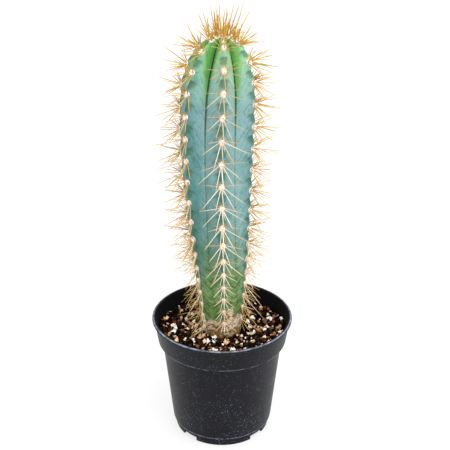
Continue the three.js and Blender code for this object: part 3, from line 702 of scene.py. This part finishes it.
stem_points, stem_faces, stem_traits = build_stem()
stem = make_piece(
    "cactus_stem", stem_points, stem_faces, skin_finish, traits=stem_traits)
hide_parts("stem")

# --- Potting mix --------------------------------------------------------------------------
# A moist peat mix fills the pot to 12 mm under the lip. Its bed is one lumpy mass with a
# plain hole for the stem; crumbs, bark chips, pumice and white perlite lie thickly on it.
SOIL_TOP, SOIL_RADIUS = 95.0, 54.4
SOIL_HOLE, HOLE_FOOT, HOLE_RIM_DROP = 17.9, 13.5, 3.0
WALL_GAP, SHELF_GAP, FLOOR_GAP = 0.4, 0.35, 0.3  # the bed stands this clear of pot and stem
BED_SEGMENTS, BED_RINGS = 220, 60
BED_SWELL, BED_ROUGHNESS, BED_DROP = 1.1, 1.3, 1.1
GRAIN_SHAPES, GRAIN_SHARP_ANGLE, PLACE_TRIES = 10, 45, 60
chance = np.random.default_rng(3)


def soil_surface(x, y):
    """Height at which a grain's middle lies."""
    broad = sin(0.11 * x + 0.6) * cos(0.13 * y - 0.4)
    fine = sin(0.31 * x - 0.27 * y + 1.2)
    return SOIL_TOP + BED_SWELL * (0.6 * broad + 0.4 * fine)


def bed_height(x, y):
    """Height of the rough bed, in which the grains are half sunk."""
    rough = noise.noise(Vector((x, y, 0)) / 3.4) + 0.6 * noise.noise(Vector((x, y, 9)) / 1.5)
    return soil_surface(x, y) - BED_DROP + BED_ROUGHNESS * rough


def build_bed():
    """Rings up the pot's inside, in over the rough surface, and down the stem's hole."""
    wall = ((BORE_FOOT, FLOOR_GAP), (BORE_WAIST, 0), (BORE_SHELF, SHELF_GAP))
    rings = [ring(radius - WALL_GAP, height + gap, BED_SEGMENTS) for (radius, height), gap in wall]
    for radius in np.linspace(SOIL_RADIUS, SOIL_HOLE, BED_RINGS):
        rings.append([(x, y, bed_height(x, y)) for x, y, _ in ring(radius, 0, BED_SEGMENTS)])
    rings.append(ring(SOIL_HOLE - 0.2, SOIL_TOP - HOLE_RIM_DROP, BED_SEGMENTS, FOOT_OFFSET))
    rings.append(ring(HOLE_FOOT, ROOT_END_HEIGHT - FLOOR_GAP, BED_SEGMENTS, FOOT_OFFSET))
    return np.concatenate(rings), ring_faces(len(rings), BED_SEGMENTS)


peat = Finish("moist_peat", Roughness=0.9, Specular_IOR_Level=0.0)
peat_color = peat.ramp(peat.clouds(2.4, 4, 0.7), [
    (0.35, (0.002, 0.0015, 0.001)), (0.6, (0.01, 0.006, 0.004)), (0.78, (0.05, 0.024, 0.012))])
peat_finish = peat.surface(peat_color, relief=peat.clouds(0.8, 4, 0.7), depth=0.5)
bed_points, bed_faces = build_bed()
bed = make_piece("peat_bed", bed_points, bed_faces, peat_finish)
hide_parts("soil")


def stone_shape(cuts, flatness, roughness):
    """A small closed lump of unit size: a ball cut by random planes, then pushed in and out."""
    shape = bmesh.new()
    bmesh.ops.create_icosphere(shape, subdivisions=2, radius=1.0)
    points = np.array([vertex.co[:] for vertex in shape.verts])
    faces = [tuple(vertex.index for vertex in face.verts) for face in shape.faces]
    shape.free()
    for _ in range(cuts):
        plane = chance.normal(size=3)
        plane /= np.linalg.norm(plane)
        reach = chance.uniform(0.45, 0.85)
        over = np.clip(points @ plane - reach, 0, None)
        points -= over[:, None] * plane * 0.9
    shift = chance.uniform(0, 50, 3)
    for point in points:
        swell = noise.noise(Vector(point * 1.7 + shift)) + 0.5 * noise.noise(Vector(point * 3.9 + shift))
        point *= 1 + roughness * swell
    points *= np.array([1, chance.uniform(0.65, 0.95), flatness])
    return points, faces


def turn_matrix(tilt):
    """A random turn about the upright, with a lean of up to the tilt in degrees."""
    spin = chance.uniform(0, 2 * pi)
    lean = radians(tilt) * chance.uniform(0, 1)
    way = chance.uniform(0, 2 * pi)
    leaned = Vector((sin(lean) * cos(way), sin(lean) * sin(way), cos(lean)))
    turn = Vector((0, 0, 1)).rotation_difference(leaned)
    cosine, sine = cos(spin), sin(spin)
    return np.array(turn.to_matrix()) @ np.array([[cosine, -sine, 0], [sine, cosine, 0], [0, 0, 1]])


taken_places = []


def free_place(size, crowding):
    """A place on the bed, oftener in front, where a grain overlaps the others only a little."""
    for _ in range(PLACE_TRIES):
        reach = sqrt(chance.uniform((SOIL_HOLE + 0.7 * size) ** 2, (SOIL_RADIUS - 0.9 * size) ** 2))
        turn = chance.uniform(0, 2 * pi)
        x, y = reach * sin(turn), -reach * cos(turn)
        if chance.uniform() > 0.65 + 0.3 * cos(turn) + 0.08 * sin(turn):
            continue
        if all(hypot(x - a, y - b) > crowding * (size + s) for a, b, s in taken_places):
            break
    taken_places.append((x, y, size))
    return x, y


def scatter(name, finish, count, sizes, cuts, flatness, roughness, crowding, tilt=60, sink=0.0):
    """Strews grains of one kind over the bed, as one piece."""
    shapes = [stone_shape(cuts, flatness, roughness) for _ in range(GRAIN_SHAPES)]
    points, faces, tones = [], [], []
    for _ in range(count):
        shape, shape_faces = shapes[chance.integers(len(shapes))]
        size = sizes[0] + (sizes[1] - sizes[0]) * chance.uniform() ** 2.2
        x, y = free_place(size, crowding)
        placed = shape @ turn_matrix(tilt).T * size
        placed += (x, y, soil_surface(x, y) - sink * size)
        faces += shifted(shape_faces, len(points) * len(shape))
        points.append(placed)
        tones += [chance.uniform()] * len(placed)
    make_piece(
        name, np.concatenate(points), faces, finish, GRAIN_SHARP_ANGLE, {"tone": tones})


def grain_finish(name, stops, grain, depth, roughness):
    """A mineral or bark finish whose colour varies from grain to grain and within each."""
    finish = Finish(name, Roughness=roughness, Specular_IOR_Level=0.04)
    tone = finish.trait("tone") * 0.65 + finish.clouds(grain, 4, 0.7) * 0.5 - 0.1
    return finish.surface(finish.ramp(tone, stops), relief=finish.clouds(grain * 0.5, 4, 0.7), depth=depth)


perlite_stops = [(0.14, (0.5, 0.24, 0.1)), (0.38, (0.86, 0.66, 0.47)), (0.64, (0.98, 0.92, 0.84))]
scatter(
    "perlite_grains", grain_finish("perlite", perlite_stops, grain=1.2, depth=0.6, roughness=0.8),
    count=115, sizes=(0.9, 3.3), cuts=7, flatness=0.8, roughness=0.9, crowding=0.8)
pumice_stops = [(0.3, (0.03, 0.012, 0.006)), (0.54, (0.26, 0.1, 0.038)), (0.78, (0.95, 0.62, 0.34))]
scatter(
    "pumice_grains", grain_finish("pumice", pumice_stops, grain=1.2, depth=0.3, roughness=0.85),
    count=235, sizes=(0.7, 2.8), cuts=8, flatness=0.75, roughness=0.9, crowding=0.6)
bark_stops = [(0.25, (0.005, 0.0035, 0.003)), (0.62, (0.035, 0.019, 0.014)), (0.95, (0.26, 0.13, 0.075))]
scatter(
    "bark_chips", grain_finish("bark", bark_stops, grain=1.0, depth=0.3, roughness=0.75),
    count=230, sizes=(1.1, 3.0), cuts=8, flatness=0.42, roughness=0.3, crowding=0.55, tilt=50, sink=0.05)
crumb_stops = [(0.1, (0.0015, 0.001, 0.0008)), (0.6, (0.006, 0.0035, 0.0022)), (0.95, (0.045, 0.022, 0.012))]
scatter(
    "peat_crumbs", grain_finish("peat_crumb", crumb_stops, grain=0.9, depth=0.3, roughness=0.85),
    count=600, sizes=(0.7, 2.5), cuts=7, flatness=0.8, roughness=0.8, crowding=0.5, sink=0.1)

# --- Pads and spines ----------------------------------------------------------------------
# Along each rib's crest stand woolly pads. Each bears a star of straight, tapered spines:
# pale ones that spread down and aside, short tawny ones above, and long ones in the middle.
PAD_WIDTH, PAD_LENGTH, PAD_HEIGHT = 2.5, 3.0, 2.1  # half width, half length, height
PAD_RINGS, PAD_SIDES = 7, 18
PAD_GROWTH, PAD_WEAR_FADE = (120, 190), (115, 190)  # heights over which pads grow and get less worn
YOUNG_REACHES = (0.0, 5.4, 10.6)  # how far from the middle of the crown the youngest pads stand
YOUNG_SIZE = 0.8  # next to the front rib's full-grown pads
HAIRS_PER_PAD, HAIR_RADIUS, HAIR_LENGTHS, HAIR_BEND, HAIR_SIDES = 46, 0.06, (0.9, 1.9), 0.35, 3
HAIR_STATIONS, HAIR_PROFILE = (0.0, 0.5, 1.0), (1.0, 0.7, 0.2)
SPINE_SIDES, SPINE_BEND = 6, 0.02
SPINE_STATIONS = (0.0, 0.05, 0.12, 0.4, 0.7, 0.9, 1.0)  # shares of the way to the tip
SPINE_PROFILE = (1.2, 1.15, 1.0, 0.95, 0.84, 0.6, 0.15)  # shares of the root radius there
SPINE_TOP = 369.0  # nothing stands higher
SOIL_CLEARANCE = 3.0  # the lowest tips stay this far above the soil
LOW_END, CROWN_START = 150.0, 318.0  # pads below and above these bear other spines
# Heights over which the spines grow longer, stouter, tanner and golden, and take the crown's girth; the side
# ribs' tan is painted shade.
LENGTH_RISE, GIRTH_RISE, SHADE_TAN_RISE = (150, 180), (148, 176), (140, 190)
GOLD_RISE, CROWN_CHANGE = (250, 320), (285, 310)


def both_sides(spines):
    """Each spine that points aside is followed by its twin on the other side."""
    return [
        (side * turn, *rest) for turn, *rest in spines for side in ((1, -1) if 0 < turn < 180 else (1,))
    ]


# The spines of one pad: turn from straight down the rib and lift over the surface in degrees,
# length, root radius, and tone from 0, cream, through gold to 1, brown.
SPINES = both_sides([
    (0, 43, 19.7, 0.36, 0.0), (32, 50, 21.5, 0.3, 0.05), (72, 44, 23.5, 0.31, 0.05),
    (110, 40, 19, 0.26, 0.15), (134, 35, 10.5, 0.24, 0.8), (158, 34, 10, 0.24, 0.9),
    (180, 44, 9, 0.23, 0.9), (180, 84, 22, 0.32, 0.1),
])
CROWN_SPINES = both_sides([
    (0, 38, 18, 0.33, 0.15), (30, 46, 21, 0.3, 0.2), (62, 44, 22, 0.3, 0.25), (95, 44, 20, 0.28, 0.35),
    (125, 48, 17, 0.27, 0.4), (155, 42, 13, 0.26, 0.5), (0, 74, 24, 0.33, 0.35), (180, 76, 24, 0.32, 0.4),
])
YOUNG_SPINES = [
    (0, 56, 12, 0.28, 0.35), (70, 62, 13, 0.28, 0.4), (-70, 62, 13, 0.28, 0.4), (150, 70, 15, 0.28, 0.5),
    (-130, 76, 20, 0.3, 0.45), (60, 86, 27, 0.37, 0.5),
]
LOW_SPINES = [  # near the soil, on all ribs but the front one
    (0, 30, 19, 0.26, 0.14), (10, 52, 30, 0.29, 0.1), (30, 38, 22, 0.26, 0.22), (-30, 38, 22, 0.26, 0.18),
    (64, 42, 20, 0.25, 0.12), (-64, 42, 20, 0.25, 0.22), (105, 40, 12, 0.22, 0.35),
    (-105, 40, 12, 0.22, 0.35),
]
FILL_SPINES, FULL_FILL_START = 2, 175  # short ones on side and rear ribs; lower down only one


def pad_frame(rib, height):
    """Down the rib, across it and out of it, at a pad."""
    reach = PAD_LENGTH / 2
    zero = np.zeros(1)
    upper = stem_point(rib, zero, np.array([min(height + reach, STEM_TOP - TIP_GAP)]))[0]
    lower = stem_point(rib, zero, np.array([height - reach]))[0]
    down = (lower - upper) / np.linalg.norm(lower - upper)
    bearing = radians(rib_bearing(rib, 0) + 90)
    across = np.array([sin(bearing), -cos(bearing), 0])
    out = np.cross(down, across)
    return down, across, out / np.linalg.norm(out)


def grow_needles(roots, ways, lengths, radii, bends, stations, profile, sides):
    """Tapered closed needles in one mesh, with each point's share of the way to the tip."""
    ways = ways / np.linalg.norm(ways, axis=1, keepdims=True)
    helper = np.where(np.abs(ways[:, 2:3]) < 0.9, [[0.0, 0.0, 1.0]], [[1.0, 0.0, 0.0]])
    first = np.cross(ways, helper)
    first /= np.linalg.norm(first, axis=1, keepdims=True)
    second = np.cross(ways, first)
    turns = np.arange(sides) * 2 * pi / sides
    rings = []
    for station, share in zip(stations, profile):
        middle = roots + ways * (lengths * station)[:, None] + bends * (lengths * station ** 2)[:, None]
        for turn in turns:
            round_way = first * cos(turn) + second * sin(turn)
            rings.append(middle + round_way * (radii * share)[:, None])
    grid = np.stack(rings, 1)
    shape = ring_faces(len(stations), sides)
    faces = [face for needle in range(len(roots)) for face in shifted(shape, needle * grid.shape[1])]
    along = np.tile(np.repeat(stations, sides), len(roots))
    return grid.reshape(-1, 3), faces, along


def spine_way(axes, turn, lift):
    """A spine's direction from its turn and lift in degrees."""
    down, across, out = axes
    turned, lifted = radians(turn), radians(lift)
    level_way = down * cos(turned) + across * sin(turned)
    return level_way * cos(lifted) + out * sin(lifted)


horn = Finish("spine_horn", IOR=1.5, Roughness=0.45, Specular_IOR_Level=0.2)
tawny, along_spine = horn.trait("tone"), horn.trait("along")
horn_tone = tawny + 0.3 * along_spine * (1 - tawny) + 0.14 * (horn.clouds(3) - 0.5)
horn_color = horn.ramp(horn_tone, [
    (0.0, (0.9, 0.82, 0.68)), (0.34, (0.56, 0.365, 0.15)), (0.66, (0.6, 0.365, 0.03)),
    (1.0, (0.34, 0.15, 0.013))])
root_brown = horn.fade(along_spine, 0.04, 0.4) * (0.25 + 0.8 * horn.step(tawny, 0.05, 0.4))
horn_finish = horn.surface(horn.blend(root_brown * 0.6, horn_color, (0.46, 0.19, 0.045)))

wool = Finish("areole_wool", Roughness=0.95)
wool_color = wool.ramp(wool.clouds(0.9, 3, 0.6), [
    (0.24, (0.58, 0.38, 0.26)), (0.42, (0.88, 0.76, 0.64)), (0.62, (0.97, 0.92, 0.85))])
wool_color = wool.blend(wool.trait("middle") * 0.16, wool_color, (0.75, 0.42, 0.26))
wool_finish = wool.surface(wool_color, relief=wool.clouds(0.35, 3, 0.7), depth=0.3)


def build_pad(place, size):
    """A woolly dome: rings from its edge, sunk in the skin, up to its brownish middle."""
    points, middles = [], []
    for row in range(PAD_RINGS):
        climb = radians(84) * row / (PAD_RINGS - 1)
        spread, lift = cos(climb), size * PAD_HEIGHT * sin(climb) - 0.3 * (row == 0)
        for turn in np.arange(PAD_SIDES) * 2 * pi / PAD_SIDES:
            down, aside = PAD_LENGTH * spread * cos(turn), PAD_WIDTH * spread * sin(turn)
            points.append(place(size * down, size * aside, lift))
            middles.append(max(0.0, (climb - 0.9) / 0.5))
    return points, ring_faces(PAD_RINGS, PAD_SIDES), middles


def pad_place(rib, height, axes):
    """A function that places a point this far down, across and off the skin from a pad's middle."""
    def place(down, across, lift):
        level = min(height + down * axes[0][2], STEM_TOP - 0.05)
        offset = degrees(across / max(crest_radius(level), 2 * PAD_WIDTH))
        return stem_point(rib, np.array([offset]), np.array([level]))[0] + axes[2] * lift
    return place


def rib_stations(rib, has_apex):
    """Each pad's height, directions, way of placing points, size and spines."""
    levels = np.linspace(STEM_TOP - 8, STEM_TOP - 0.01, 200)
    reaches = YOUNG_REACHES if has_apex else YOUNG_REACHES[1:]
    young_heights = [levels[np.argmin(np.abs(crest_radius(levels) - reach))] for reach in reaches]
    pads = [(height, YOUNG_SIZE, YOUNG_SPINES) for height in young_heights]
    for height in rib_pads[rib]:
        if height > LOWEST_PAD:
            spines = CROWN_SPINES if height > CROWN_START else SPINES
            if height < LOW_END and rib != 0:
                spines = LOW_SPINES
            size = (1.0 if rib == 0 else 0.9) * (0.66 + 0.34 * eased(height, *PAD_GROWTH))
            pads.append((height, size, spines))
    stations = []
    for height, size, spines in pads:
        axes = pad_frame(rib, height)
        stations.append((height, axes, pad_place(rib, height, axes), size, spines))
    return stations


def fill_spines(height):
    """Short spines in any direction, which make the side ribs' edges dense."""
    count = FILL_SPINES if height > FULL_FILL_START else 1
    if height > CROWN_START or height < LOW_END:
        count = 0
    return [
        (chance.uniform(-180, 180), chance.uniform(30, 72), chance.uniform(9, 17), 0.24,
         chance.uniform(0.2, 0.9))
        for _ in range(count)
    ]


def row_spines(stations, in_front):
    """Root, direction, length, root radius and tone of each spine, lifted clear of the soil."""
    rows = []
    smallest, crown_girth = (0.47, 0.82) if in_front else (0.8, 1.1)
    for height, axes, place, _, spines in stations:
        crown_share = eased(height, *CROWN_CHANGE)
        growth = smallest + (1 - smallest) * eased(height, *LENGTH_RISE)
        slim = 0.74 + 0.26 * eased(height, *GIRTH_RISE)
        girth = 1.06 * slim * (1 + (crown_girth - 1) * crown_share)
        # Spines on the side and rear ribs are darkened towards tan as painted shade, more so higher up; the
        # front rib's stay cream.
        shade = 0 if in_front else 0.06 + 0.2 * eased(height, *SHADE_TAN_RISE)
        golden = shade + 0.2 * eased(height, *GOLD_RISE)
        shortest = 0.84 if in_front else 0.72
        if spines is YOUNG_SPINES:
            shortest = 0.7
        else:
            growth *= 1 - 0.14 * crown_share
        more = [] if in_front else fill_spines(height)
        for turn, lift, length, radius, tone in spines + more:
            long = growth * length * chance.uniform(shortest, 1.1)
            turned = turn + chance.normal() * (1.5 if turn == 0 else 5)
            lifted = lift + chance.normal() * 5
            reach, depth = (1.5, 0.2) if lift < 60 else (0.7, 0.8)
            root = place(reach * cos(radians(turned)), reach * sin(radians(turned)), depth)
            way = spine_way(axes, turned, lifted)
            while root[2] + way[2] * long < SOIL_TOP + SOIL_CLEARANCE and lifted < 84:
                lifted += 4
                way = spine_way(axes, turned, lifted)
            long = min(long, (SPINE_TOP - root[2]) / max(way[2], 0.01))
            tone += golden * (1 - tone) + chance.normal() * (0.06 if in_front else 0.15)
            rows.append((root, way, long, girth * radius, tone))
    return rows


def make_spines(rib, stations):
    rows = row_spines(stations, rib == 0)
    roots, ways, lengths, radii, tones = (np.array(values) for values in zip(*rows))
    bends = chance.normal(size=roots.shape) * SPINE_BEND
    points, faces, along = grow_needles(
        roots, ways, lengths, radii, bends, SPINE_STATIONS, SPINE_PROFILE, SPINE_SIDES)
    spines = make_piece(
        f"spines_{rib + 1}", points, faces, horn_finish,
        traits={"tone": np.repeat(tones, len(points) // len(rows)), "along": along})
    node = f"spine_row_{rib + 1}"
    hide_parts(node)


def grow_hairs(stations):
    """Fine hairs that stand out all over the pads of a row."""
    roots, ways = [], []
    for _, axes, place, size, _ in stations:
        for _ in range(HAIRS_PER_PAD):
            turn, spread = chance.uniform(0, 2 * pi), sqrt(chance.uniform(0, 1)) * 0.95
            down, aside = PAD_LENGTH * spread * cos(turn), PAD_WIDTH * spread * sin(turn)
            lift = PAD_HEIGHT * sqrt(1 - spread ** 2)
            roots.append(place(size * down, size * aside, size * lift - 0.15))
            outward = axes[0] * cos(turn) + axes[1] * sin(turn)
            ways.append(axes[2] * (1.1 - spread) + outward * spread * 1.2 + chance.normal(size=3) * 0.35)
    lengths = chance.uniform(*HAIR_LENGTHS, len(roots))
    bends = chance.normal(size=(len(roots), 3)) * HAIR_BEND
    return grow_needles(
        np.array(roots), np.array(ways), lengths, np.full(len(roots), HAIR_RADIUS), bends,
        HAIR_STATIONS, HAIR_PROFILE, HAIR_SIDES)


def make_pads(rib, stations):
    points, faces, middles = [], [], []
    for height, _, place, size, _ in stations:
        dome, dome_faces, dome_middles = build_pad(place, size)
        worn = 2.2 * (1 - eased(height, *PAD_WEAR_FADE))
        faces += shifted(dome_faces, len(points))
        points += dome
        middles += [middle + worn for middle in dome_middles]
    hair_points, hair_faces, _ = grow_hairs(stations)
    faces += shifted(hair_faces, len(points))
    middles += [0.0] * len(hair_points)
    make_piece(
        f"wool_pads_{rib + 1}", np.concatenate([np.array(points), hair_points]), faces,
        wool_finish, traits={"middle": middles})


highest_rib = RIB_STARTS.index(max(RIB_STARTS))
for rib in range(RIBS):
    stations = rib_stations(rib, rib == highest_rib)
    make_spines(rib, stations)
    make_pads(rib, stations)
